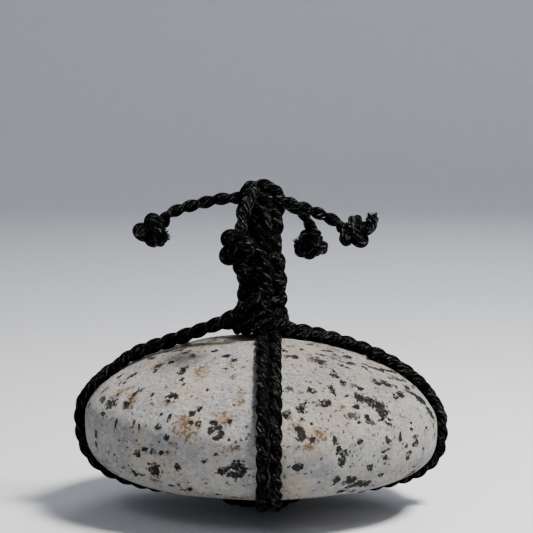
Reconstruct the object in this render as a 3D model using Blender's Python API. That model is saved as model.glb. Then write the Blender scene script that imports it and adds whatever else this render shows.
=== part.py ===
"""Sekimori stone: a flattened oval river pebble tied crosswise with black twisted cord.

Two cords are laid double under the stone, one pair along it and one pair across it. They meet
on top in a foot knot, and their four ends are crowned round each other into an upright handle.
Each end leaves the last crown on its own side as a short tail with an overhand knot on it.

Metres, +Z up. The origin is on the ground under the middle of the stone, +X runs along the
stone, and the side that is seen first faces -Y.
"""

import math

import bmesh
import bpy
import numpy as np
from mathutils import Vector

MM = 0.001

# Cord
CORD = 4.0 * MM
CORD_RADIUS = CORD / 2
GAP = 0.3 * MM
STONE_GAP = 0.5 * MM
SEALED_WITHIN = 0.01 * MM
SHARP_FROM = math.radians(50)

# Stone
STONE_LENGTH = 118.8 * MM
STONE_DEPTH = 92.0 * MM
STONE_BOTTOM = 7.2 * MM
STONE_TOP = 57.9 * MM
STONE_MIDDLE = (-0.55 * MM, -0.25 * MM)
WIDEST_LEVEL = 28.9 * MM
WIDEST_LEVEL_SLOPE = -2.2 * MM
ROUND_ABOVE = 1.9
FULL_BELOW = 3.0
LUMP_ALONG = 0.008
LUMP_ACROSS = 0.010
STONE_SEGMENTS = 38
STONE_RINGS = 26

# Bands round the stone
PAIR_SPACING = 4.4 * MM
CROSS_PAIR_X = 2.6 * MM
CROSS_CORD = 3.2 * MM
LONG_BAND_TOP = 3.4 * MM
FLAT_REACH = 7.0 * MM
LIFT_REACH = 17.0 * MM
BAND_TURN = (84.0, -264.0)
ROUTE_STEPS = 400
ROUTE_KEPT = 46
BAND_POINTS = 38
BEND_SHARE = 14.0 * MM

# On the right, the back cord stands a little off the stone near the foot knot
RIGHT_LIFT = 1.6 * MM
RIGHT_LIFT_REACH = 36.0 * MM

# On the left, the front cord climbs off the stone and up the front of the handle, in millimetres
LIFT_OFF = 47.0 * MM
CLIMB = (
    (-43.3, -2.3, 52.8),
    (-38.0, -2.6, 55.0),
    (-32.0, -3.4, 57.0),
    (-26.0, -4.6, 58.9),
    (-20.0, -6.2, 61.1),
    (-14.0, -8.4, 63.7),
    (-9.0, -10.4, 66.4),
    (-4.8, -11.2, 69.4),
    (-0.8, -10.9, 72.8),
)

# Handle
CROWNS = 6
CROWN_PITCH = 7.4 * MM
FIRST_CROWN = 68.0 * MM
RISER_RADIUS = 1.5 * CORD
CROWN_SWELL = (1.04, 1.03, 1.00, 0.91, 0.94, 1.0)
CROWN_SHIFT = (0.3, 0.5, 0.2, -0.6, -0.2, 0.0)
STRAND = 4.2 * MM
STRAND_POINTS = 44
CORE_BOTTOM_RADIUS = 6.1 * MM
CORE_TOP_RADIUS = 4.6 * MM
CORE_SIDES = 12
STONE_CLEARANCE = 0.6 * MM

# How a strand crosses one crown: the way out as a share of the riser radius, the side step as
# a share of the cord radius, and the rise as a share of the cord
CROWN_PATH = (
    (-1.00, 0.0, 0.15),
    (-0.72, 1.0, 0.52),
    (-0.30, 1.0, 0.50),
    (0.30, 1.0, -0.50),
    (0.72, 1.0, -0.52),
    (1.00, 0.9, -0.25),
)
RISER_DROP = 0.35 * CROWN_PITCH

# The two turns of the foot knot: height and radius in millimetres, tilt in degrees
FOOT_TURNS = ((60.6, 7.2, 4.0), (64.2, 6.8, -7.0))
FOOT_REACH = 7.2 * MM + CORD_RADIUS + GAP
FOOT_SIDES = (20, 8)

# Knots
KNOT_RING = 3.6 * MM
KNOT_CORD_RADIUS = 2.1 * MM
KNOT_CORE = 4.0 * MM
KNOT_CORE_SHAPE = (0.9, 0.9, 1.15)
KNOT_SIDES = (14, 8)
KNOT_CORE_SIDES = (10, 7)
STUB = 7.0 * MM
STUB_CORD = 3.6 * MM

# Each tail: the points of its route in millimetres from the last crown to its knot, the
# middle of the knot, and the way that the cut end points
TAIL_POINTS = 8
TAILS = {
    "left": (
        (
            (-8.6, -1.8, 104.0),
            (-13.5, -2.0, 103.7),
            (-20.3, -2.2, 102.2),
            (-26.8, -2.2, 100.4),
            (-31.4, -2.2, 98.0),
        ),
        (-36.9, -2.2, 93.6),
        (1.0, 0.1, -0.05),
    ),
    "front": (
        (
            (-2.2, -8.6, 106.2),
            (-3.2, -13.0, 105.2),
            (-4.9, -17.4, 101.2),
            (-6.2, -20.4, 96.0),
        ),
        (-7.4, -22.0, 89.2),
        (0.5, -0.2, -0.85),
    ),
    "right": (
        (
            (8.6, 1.8, 102.6),
            (13.2, 3.0, 101.0),
            (19.8, 4.6, 98.3),
            (25.8, 5.6, 95.3),
        ),
        (31.9, 6.0, 91.9),
        (0.75, 0.1, 0.65),
    ),
    "back": (
        (
            (2.4, 9.2, 102.0),
            (6.6, 10.8, 101.5),
            (10.6, 12.8, 100.0),
            (14.0, 15.6, 97.0),
            (16.2, 18.2, 92.8),
        ),
        (17.8, 20.0, 85.9),
        (-0.75, 0.1, 0.6),
    ),
}

STONE_COLOUR = (0.62, 0.60, 0.56, 1.0)
STONE_ROUGHNESS = 0.85
CORD_COLOUR = (0.012, 0.012, 0.015, 1.0)
CORD_ROUGHNESS = 0.55


def clear_scene():
    for obj in list(bpy.data.objects):
        bpy.data.objects.remove(obj, do_unlink=True)


def new_collection(name):
    collection = bpy.data.collections.new(name)
    bpy.context.scene.collection.children.link(collection)
    return collection


def new_material(name, colour, roughness):
    material = bpy.data.materials.new(name)
    material.use_nodes = True
    shader = material.node_tree.nodes["Principled BSDF"]
    shader.inputs["Base Color"].default_value = colour
    shader.inputs["Roughness"].default_value = roughness
    shader.inputs["Metallic"].default_value = 0.0
    material.diffuse_color = colour
    return material


def granite():
    return new_material("granite pebble", STONE_COLOUR, STONE_ROUGHNESS)


def black_cord(piece):
    return new_material(f"black cord {piece}", CORD_COLOUR, CORD_ROUGHNESS)


def place(obj, name, collection, material):
    """Names an object, moves it to its collection and gives it its own material."""
    obj.name = name
    obj.data.name = name
    for old in list(obj.users_collection):
        old.objects.unlink(obj)
    collection.objects.link(obj)
    obj.data.materials.clear()
    obj.data.materials.append(material)
    return obj


def mesh_object(name, mesh, collection, material):
    data = bpy.data.meshes.new(name)
    mesh.to_mesh(data)
    mesh.free()
    obj = bpy.data.objects.new(name, data)
    bpy.context.scene.collection.objects.link(obj)
    return place(obj, name, collection, material)


def as_cutter(obj):
    obj.hide_render = True
    obj.display_type = "WIRE"


def join_modifier(obj, other):
    """A Boolean union with another object, or with every object of a collection."""
    join = obj.modifiers.new("join " + other.name, "BOOLEAN")
    join.operation = "UNION"
    join.solver = "EXACT"
    if isinstance(other, bpy.types.Collection):
        join.operand_type = "COLLECTION"
        join.collection = other
    else:
        join.object = other


def smooth_step(value):
    value = np.clip(value, 0.0, 1.0)
    return value * value * (3.0 - 2.0 * value)


def stone_surface(directions):
    """The points of the pebble's surface along unit directions, one a row."""
    ux, uy, uz = np.asarray(directions, float).T
    level = np.hypot(ux, uy)
    power = FULL_BELOW + (ROUND_ABOVE - FULL_BELOW) * smooth_step(uz / 0.6 + 0.5)
    reach = (level**power + np.abs(uz) ** power) ** (-1.0 / power)
    lump = 1.0 + LUMP_ALONG * np.sin(3.0 * ux + 1.0) * np.cos(2.0 * uz)
    lump = lump + LUMP_ACROSS * np.sin(2.6 * uy + 2.0 * ux)
    widest = WIDEST_LEVEL + WIDEST_LEVEL_SLOPE * ux
    height = np.where(uz > 0.0, STONE_TOP - widest, widest - STONE_BOTTOM)
    x = STONE_MIDDLE[0] + STONE_LENGTH / 2 * reach * ux * lump
    y = STONE_MIDDLE[1] + STONE_DEPTH / 2 * reach * uy * lump
    return np.stack([x, y, widest + height * reach * uz], axis=1)


def make_stone(collection):
    """The pebble: a ball with its poles at the two ends, drawn out to the stone's surface."""
    mesh = bmesh.new()
    bmesh.ops.create_uvsphere(mesh, u_segments=STONE_SEGMENTS, v_segments=STONE_RINGS, radius=1.0)
    ball = np.array([vert.co for vert in mesh.verts])
    along_x = np.stack([ball[:, 2], ball[:, 1], -ball[:, 0]], axis=1)
    for vert, point in zip(mesh.verts, stone_surface(along_x)):
        vert.co = point
    stone = mesh_object("stone", mesh, collection, granite())
    stone.data.shade_smooth()


def smooth_route(points, count):
    """Points on a smooth curve through the points of a route, closer together where it bends."""
    points = np.array(points, float)
    padded = np.vstack([2 * points[0] - points[1], points, 2 * points[-1] - points[-2]])
    curve = []
    for before, start, end, after in zip(padded, padded[1:], padded[2:], padded[3:]):
        bend = 2 * before - 5 * start + 4 * end - after
        twist = 3 * (start - end) + after - before
        for t in np.linspace(0.0, 1.0, 16, endpoint=False):
            curve.append(start + 0.5 * ((end - before) * t + bend * t**2 + twist * t**3))
    curve = np.vstack([curve, points[-1]])
    steps = np.diff(curve, axis=0)
    lengths = np.linalg.norm(steps, axis=1)
    ways = steps / lengths[:, None]
    turns = np.append(0.0, np.linalg.norm(np.diff(ways, axis=0), axis=1))
    run = np.concatenate([[0.0], np.cumsum(lengths + BEND_SHARE * turns)])
    even = np.linspace(0.0, run[-1], count)
    return np.stack([np.interp(even, run, curve[:, axis]) for axis in range(3)], axis=1)


def cord_tube(name, points, diameter, collection, material):
    """A plain round cord along points, as a closed mesh."""
    curve = bpy.data.curves.new(name, "CURVE")
    curve.dimensions = "3D"
    curve.bevel_depth = diameter / 2
    curve.bevel_resolution = 2
    curve.use_fill_caps = True
    spline = curve.splines.new("POLY")
    spline.points.add(len(points) - 1)
    for spline_point, point in zip(spline.points, points):
        spline_point.co = (*point, 1.0)
    guide = bpy.data.objects.new(name + "_guide", curve)
    bpy.context.scene.collection.objects.link(guide)
    graph = bpy.context.evaluated_depsgraph_get()
    drawn = bpy.data.meshes.new_from_object(guide.evaluated_get(graph))
    bpy.data.objects.remove(guide, do_unlink=True)
    bpy.data.curves.remove(curve)
    mesh = bmesh.new()
    mesh.from_mesh(drawn)
    bmesh.ops.remove_doubles(mesh, verts=mesh.verts, dist=SEALED_WITHIN)
    bpy.data.meshes.remove(drawn)
    cord = mesh_object(name, mesh, collection, material)
    cord.data.shade_smooth()
    cord.data.set_sharp_from_angle(angle=SHARP_FROM)
    return cord


def press_flat(cord, low, high):
    """Presses a cord between two levels, where it lies under the middle of the stone."""
    for vert in cord.data.vertices:
        if vert.co.z < STONE_BOTTOM + GAP and max(abs(vert.co.x), abs(vert.co.y)) < LIFT_REACH:
            vert.co.z = min(max(vert.co.z, low), high)


def band_route(along_x, lane, drop):
    """A cord's route round the stone, in the upright plane at lane, from near the top on the
    +X or +Y side, under the stone, and up again on the other side.

    The cord keeps its radius and a gap off the stone, and drop is how much lower its middle
    lies under the middle of the stone.
    """
    turns = np.radians(np.linspace(*BAND_TURN, ROUTE_STEPS))
    half_width = (STONE_DEPTH if along_x else STONE_LENGTH) / 2
    across = np.full_like(turns, lane / half_width)
    flat = np.sqrt(1.0 - across**2)
    ahead = flat * np.cos(turns)
    up = flat * np.sin(turns)
    rows = [ahead, across, up] if along_x else [across, ahead, up]
    axis = 0 if along_x else 1
    section = stone_surface(np.stack(rows, axis=1))[:, [axis, 2]]
    tangent = np.gradient(section, axis=0)
    tangent /= np.linalg.norm(tangent, axis=1)[:, None]
    normal = np.stack([tangent[:, 1], -tangent[:, 0]], axis=1)
    outward = section - np.array([0.0, WIDEST_LEVEL])
    normal *= np.sign((normal * outward).sum(axis=1))[:, None]
    section = section + normal * (CORD_RADIUS + STONE_GAP)
    beyond_flat = (np.abs(section[:, 0]) - FLAT_REACH) / (LIFT_REACH - FLAT_REACH)
    section[:, 1] -= drop * (1.0 - smooth_step(beyond_flat)) * (np.sin(turns) < 0.0)
    route = np.empty((len(turns), 3))
    route[:, axis] = section[:, 0]
    route[:, 1 - axis] = lane
    route[:, 2] = section[:, 1]
    clear_of_foot = (np.abs(route[:, axis]) > FOOT_REACH) | (route[:, 2] < WIDEST_LEVEL)
    route = route[clear_of_foot]
    kept = np.linspace(0, len(route) - 1, ROUTE_KEPT).round().astype(int)
    return route[kept]


def raise_left_end(route):
    """Takes the end of the route off the stone, through the air and up the handle's front."""
    second_half = np.arange(len(route)) > len(route) / 2
    climbing = second_half & (route[:, 0] > -LIFT_OFF) & (route[:, 2] > WIDEST_LEVEL)
    return np.vstack([route[~climbing], np.array(CLIMB) * MM])


def raise_right_end(route):
    """Lifts the start of the route off the stone, more the nearer it is to the foot knot."""
    on_top_right = (route[:, 0] > 0.0) & (route[:, 2] > WIDEST_LEVEL)
    near_foot = smooth_step((RIGHT_LIFT_REACH - route[:, 0]) / RIGHT_LIFT_REACH)
    route[:, 2] += RIGHT_LIFT * near_foot * on_top_right
    return route


def make_bands(collection):
    """The two pairs of cords: the pair along the stone lies under the pair across it."""
    long_drop = STONE_BOTTOM - GAP - LONG_BAND_TOP
    cross_lift = (CORD - CROSS_CORD) / 2
    for name, side, raise_end in (
        ("long_band_front", -1, raise_left_end),
        ("long_band_back", 1, raise_right_end),
    ):
        route = raise_end(band_route(True, side * PAIR_SPACING / 2, long_drop))
        band = cord_tube(name, smooth_route(route, BAND_POINTS), CORD, collection, black_cord(name))
        press_flat(band, 0.0, LONG_BAND_TOP)
    for name, side in (("cross_band_left", -1), ("cross_band_right", 1)):
        route = band_route(False, CROSS_PAIR_X + side * PAIR_SPACING / 2, -cross_lift)
        band = cord_tube(name, smooth_route(route, BAND_POINTS), CORD, collection, black_cord(name))
        press_flat(band, LONG_BAND_TOP + GAP, STONE_BOTTOM - GAP)


def strand_route(strand):
    """One of the four strands through every crown: over the first strand it meets, under the
    second, out on the far side, and up that side to the next crown."""
    route = []
    for crown in range(CROWNS):
        angle = math.radians(90.0 * strand + 180.0 * crown)
        ahead = np.array([math.cos(angle), math.sin(angle), 0.0])
        side = np.array([-math.sin(angle), math.cos(angle), 0.0])
        radius = RISER_RADIUS * CROWN_SWELL[crown]
        for index, (out, side_step, rise) in enumerate(CROWN_PATH):
            level = FIRST_CROWN + crown * CROWN_PITCH + rise * CORD
            if index == 0 and crown > 0:
                level -= RISER_DROP
            middle = np.array([CROWN_SHIFT[crown] * MM, 0.0, level])
            route.append(middle + ahead * out * radius + side * side_step * CORD_RADIUS)
    return np.array(route)


def make_handle(collection, cutters):
    """The foot knot and the crowned strands, drawn tight into one solid."""
    turns = bpy.data.collections.new("handle_turns")
    cutters.children.link(turns)
    for strand in range(4):
        name = f"strand_{strand}"
        points = smooth_route(strand_route(strand), STRAND_POINTS)
        cord_tube(name, points, STRAND, turns, black_cord(name))
    for level, radius, tilt in FOOT_TURNS:
        bpy.ops.mesh.primitive_torus_add(
            major_segments=FOOT_SIDES[0],
            minor_segments=FOOT_SIDES[1],
            major_radius=radius * MM,
            minor_radius=CORD_RADIUS,
            location=(0.0, 0.0, level * MM),
            rotation=(math.radians(tilt), math.radians(tilt), 0.0),
        )
        place(bpy.context.object, "foot_turn", turns, black_cord("foot turn"))
    for obj in turns.objects:
        as_cutter(obj)
    top = FIRST_CROWN + (CROWNS - 1) * CROWN_PITCH
    bottom = STONE_TOP + STONE_CLEARANCE
    mesh = bmesh.new()
    bmesh.ops.create_cone(
        mesh,
        cap_ends=True,
        segments=CORE_SIDES,
        radius1=CORE_BOTTOM_RADIUS,
        radius2=CORE_TOP_RADIUS,
        depth=top - bottom,
    )
    handle = mesh_object("handle", mesh, collection, black_cord("handle"))
    handle.location = (0.0, 0.0, (top + bottom) / 2)
    join_modifier(handle, turns)


def make_knot(name, centre, heading, stub_heading, collection, cutters):
    """An overhand knot: one round turn drawn tight round the cord, with a short cut end."""
    turn = Vector(heading).to_track_quat("Z", "Y")
    bpy.ops.mesh.primitive_torus_add(
        major_segments=KNOT_SIDES[0],
        minor_segments=KNOT_SIDES[1],
        major_radius=KNOT_RING,
        minor_radius=KNOT_CORD_RADIUS,
        location=centre,
    )
    ring = place(bpy.context.object, name, collection, black_cord(name))
    bpy.ops.mesh.primitive_uv_sphere_add(
        segments=KNOT_CORE_SIDES[0],
        ring_count=KNOT_CORE_SIDES[1],
        radius=KNOT_CORE,
        location=centre,
    )
    core = place(bpy.context.object, name + "_core", cutters, black_cord(name))
    core.scale = KNOT_CORE_SHAPE
    for obj in (ring, core):
        obj.rotation_mode = "QUATERNION"
        obj.rotation_quaternion = turn
    stub_way = np.array(Vector(stub_heading).normalized())
    stub_points = [centre + stub_way * STUB * share for share in (0.0, 0.5, 1.0)]
    stub = cord_tube(name + "_stub", stub_points, STUB_CORD, cutters, black_cord(name))
    for other in (core, stub):
        as_cutter(other)
        join_modifier(ring, other)


def make_tails(collection, cutters):
    """The four short ends, each a free cord up to its knot."""
    for side, (route, centre, stub_heading) in TAILS.items():
        name = "tail_" + side
        points = smooth_route(np.array(route) * MM, TAIL_POINTS)
        cord_tube(name, points, CORD, collection, black_cord(name))
        heading = np.array(centre) - np.array(route[-1])
        knot_centre = np.array(centre) * MM
        make_knot("knot_" + side, knot_centre, heading, stub_heading, collection, cutters)


def main():
    clear_scene()
    parts = new_collection("sekimori stone")
    cutters = new_collection("cutters")
    make_stone(parts)
    make_bands(parts)
    make_handle(parts, cutters)
    make_tails(parts, cutters)


main()
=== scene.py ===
"""The looks of a sekimori stone: a granite river pebble tied with black two-ply cord.

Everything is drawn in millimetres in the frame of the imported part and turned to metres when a
mesh is made: +X along the stone, +Z up, the front facing -Y, the ground at zero.
"""

import math

import bpy
import numpy as np
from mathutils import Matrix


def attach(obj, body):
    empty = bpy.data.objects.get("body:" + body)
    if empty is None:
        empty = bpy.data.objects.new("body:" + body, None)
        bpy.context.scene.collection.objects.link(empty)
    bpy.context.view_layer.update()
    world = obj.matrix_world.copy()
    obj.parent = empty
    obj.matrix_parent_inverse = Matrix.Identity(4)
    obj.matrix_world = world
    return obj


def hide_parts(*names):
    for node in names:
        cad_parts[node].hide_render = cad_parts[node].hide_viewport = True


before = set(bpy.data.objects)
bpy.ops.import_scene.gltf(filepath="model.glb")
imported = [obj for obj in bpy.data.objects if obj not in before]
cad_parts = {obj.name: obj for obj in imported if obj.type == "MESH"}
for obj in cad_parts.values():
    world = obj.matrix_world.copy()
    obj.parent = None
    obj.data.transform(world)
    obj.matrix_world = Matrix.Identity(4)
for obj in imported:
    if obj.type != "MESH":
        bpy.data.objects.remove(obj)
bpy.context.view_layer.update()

MM = 0.001

# Studio, in metres: a round floor that bends up into a wall
FLOOR_RADIUS = 1.5
SWEEP_RADIUS = 0.9
SWEEP_STEPS = 12
WALL_TOP = 2.2
SWEEP_SIDES = 96

# Lights: name, kind, place in metres, size in metres or for the sun in radians, power, colour
LIGHTS = (
    ("key light", "AREA", (0.26, -0.10, 0.60), 0.16, 11.5, "#fffaf2"),
    ("back light", "AREA", (0.30, 0.90, 0.90), 0.60, 5.0, "#f4f7ff"),
    ("room light", "SUN", (-0.50, -0.90, 0.55), 1.2, 1.9, "#f3f5fb"),
)
LIGHTS_AIM = (0.0, 0.0, 0.05)
AIR_COLOUR = "#d3d7de"
AIR_LIGHT = 0.4

# Camera: level with the stone and a little above it, half a metre away
PICTURE_SIDE = 533
MM_PER_PIXEL = 1 / 3
CAMERA_DISTANCE = 500.0
CAMERA_RISE = math.radians(6.0)
CAMERA_TARGET = (1.83, 0.0, 81.1)
SENSOR = 36.0

# Cord: two plies laid round each other to the left. Its thickness and its lay waver, each
# wave given by its height and its length, and each of its ends closes in two steps
CORD = 4.0
PLY_RADIUS = 1.36
PLY_OFFSET = 0.74
PRESSED_PLIES = 0.24
LAY = 10.8
YARN_TURN = -0.2
CORD_STEP = 0.42
CORD_SIDES = 40
LONG_WAVE = (0.035, 7.3)
SHORT_WAVE = (0.02, 2.9)
LAY_WAVE = (0.35, 11.0)
END_CLOSING = (0.30, 0.86)
YARN_PLY_SHIFT = 20.0
YARN_CORD_SHIFT = 40.0

# How far the plies are pressed into each other, from 0 to 1, and how stout a cord is drawn
PULLED_TIGHT = 0.35
CROWNED = 0.2
CROWNED_THICKNESS = 1.05
KNOT_THICKNESS = 1.16

# Stone, as in the part's source
STONE_LENGTH = 118.8
STONE_DEPTH = 92.0
STONE_BOTTOM = 7.2
STONE_TOP = 57.9
STONE_MIDDLE = (-0.55, -0.25)
WIDEST_LEVEL = 28.9
WIDEST_LEVEL_SLOPE = -2.2
ROUND_ABOVE = 1.9
FULL_BELOW = 3.0
LUMP_ALONG = 0.008
LUMP_ACROSS = 0.010
STONE_SEGMENTS = 430
STONE_RINGS = 224
HUMMOCK_HEIGHT = 0.16
PIT_DEPTH = 0.35
GRAIN_DEPTH = 0.06

# Bands round the stone: a pair along it and a pair across it. The back cord of the long pair
# is lifted a little near the foot knot on both sides. The front one leaves the stone on the
# left and climbs over the front of the foot knot
PAIR_SPACING = 4.15
CROSS_PAIR_X = 2.6
CORD_SEAT = 1.75
LONG_BAND_TOP = 3.4
CROSS_BAND_MIDDLE = 5.3
FLAT_REACH = 7.0
LIFT_REACH = 17.0
BAND_TURN = (84.0, -264.0)
ROUTE_STEPS = 400
ROUTE_KEPT = 60
FOOT_REACH = 9.5
TUCK_INWARD = 0.55
TUCK_RISE = 0.9
PRESSED_LAYER = 0.3
RIGHT_LIFT = 1.6
RIGHT_LIFT_REACH = 36.0
LEFT_LIFT = 2.5
LEFT_LIFT_FROM = 31.0
LEFT_LIFT_REACH = 20.0
LIFT_OFF = 47.0
CLIMB = (
    (-43.3, -2.3, 52.0),
    (-38.0, -2.6, 54.3),
    (-32.0, -3.4, 56.5),
    (-26.0, -4.6, 58.7),
    (-20.0, -6.2, 60.9),
    (-14.0, -8.4, 63.5),
    (-9.0, -10.2, 66.4),
    (-4.8, -10.6, 69.4),
    (-1.6, -9.2, 71.6),
    (0.2, -6.0, 72.8),
    (1.0, -2.4, 73.4),
)

# Handle: four strands crowned over one another. They start inside the foot knot, each root
# given by its share of the radius and its height. The path over one crown goes from one side
# to the other, in radii along, half cords sideways and cords up
CROWNS = 6
CROWN_PITCH = 7.4
FIRST_CROWN = 68.0
RISER_RADIUS = 6.0
STRAND_ROOTS = ((0.55, 60.0), (0.85, 63.5))
CROWN_SWELL = (1.04, 1.03, 1.00, 0.91, 0.94, 1.0)
CROWN_SHIFT = (0.3, 0.5, 0.2, -0.6, -0.2, 0.0)
CROWN_PATH = (
    (-1.00, 0.0, 0.15),
    (-0.72, 1.0, 0.52),
    (-0.30, 1.0, 0.50),
    (0.30, 1.0, -0.50),
    (0.72, 1.0, -0.52),
    (1.00, 0.9, -0.25),
)
RISER_DROP = 0.35 * CROWN_PITCH
TAIL_STARTS_AT = 2

# Foot knot: turns of cord round the ends of the bands, wound upward and a little tilted, with
# both ends tucked in
FOOT_TURNS = 3.2
FOOT_START = 0.6
FOOT_OVERRUN = 0.15
FOOT_POINTS = 60
FOOT_TUCK = 0.45
FOOT_TUCK_SHARE = 0.07
FOOT_LOW = 59.6
FOOT_HIGH = 67.6
FOOT_RADIUS = 8.2
FOOT_TAPER = 1.3
FOOT_TILT = 0.09
FOOT_TILT_BACK = 2.4

# Core: the ends of the bands, in the middle of the handle
CORE = ((0.0, 0.0, 58.5), (0.2, 0.1, 74.0), (-0.4, -0.1, 90.0), (0.1, 0.0, 104.0))
CORE_STOUTNESS = 2.1

# Where a strand passes over the top of the handle, from left to right
LAST_PASS = (
    (-6.3, -1.2, 103.4),
    (-4.4, -3.0, 106.6),
    (-0.2, -3.4, 108.3),
    (3.8, -2.8, 107.3),
    (6.2, -1.0, 104.2),
)

# Tails: the points of each route, the middle of the knot, the way into the knot and the way
# that the cut end points
TAILS = {
    "left": (
        (
            (-8.6, -1.8, 104.0),
            (-13.5, -2.0, 103.7),
            (-20.3, -2.2, 102.2),
            (-26.8, -2.2, 100.4),
            (-31.4, -2.2, 98.0),
        ),
        (-35.9, -2.2, 92.6),
        (-0.75, 0.0, -0.65),
        (1.0, -0.35, 0.12),
    ),
    "front": (
        (
            (-2.2, -8.6, 106.2),
            (-3.2, -13.0, 105.2),
            (-4.9, -17.4, 101.2),
            (-6.2, -20.4, 96.4),
        ),
        (-7.4, -22.0, 89.2),
        (-0.1, -0.15, -1.0),
        (0.5, -0.2, -0.85),
    ),
    "right": (
        (
            (8.6, 1.8, 102.6),
            (13.2, 3.0, 101.0),
            (19.8, 4.6, 98.3),
            (25.2, 5.6, 95.6),
        ),
        (31.4, 6.0, 92.5),
        (1.0, 0.1, -0.1),
        (0.52, 0.2, 0.65),
    ),
    "back": (
        (
            (2.4, 9.2, 102.0),
            (7.2, 10.8, 101.3),
            (11.8, 12.8, 99.6),
            (15.2, 15.6, 96.8),
            (17.0, 18.0, 93.0),
        ),
        (17.7, 20.0, 86.3),
        (-0.25, 0.15, -0.95),
        (-0.62, 0.55, 0.5),
    ),
}

# Half the way of the cord through an overhand knot drawn tight, in cord diameters from its
# middle: the other half is this one turned half round its Z axis
KNOT_CORD = 3.75
KNOT_HALF = (
    (0.00, 0.00, 0.85),
    (-0.23, -0.55, 0.83),
    (-0.50, -1.00, 0.56),
    (-0.75, -1.15, 0.05),
    (-0.88, -0.95, -0.48),
    (-0.84, -0.48, -0.83),
    (-0.59, 0.06, -0.86),
    (-0.21, 0.42, -0.59),
    (0.20, 0.42, -0.16),
    (0.70, 0.22, 0.07),
    (1.15, 0.24, 0.16),
)
# The cut end leaves it by steps along the cord's way in and along the cut end's own way
CUT_END = ((1.05, 0.85), (0.55, 1.75))

# Frayed filaments at a cut end
FILAMENTS = 70
FRAY_RADIUS = 1.7
FRAY_ROOT = 0.8
FRAY_LENGTH = (1.1, 2.2)
FRAY_SPREAD = 0.7
FRAY_CURL = 0.15
FILAMENT_RADIUS = (0.07, 0.13)

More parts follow.
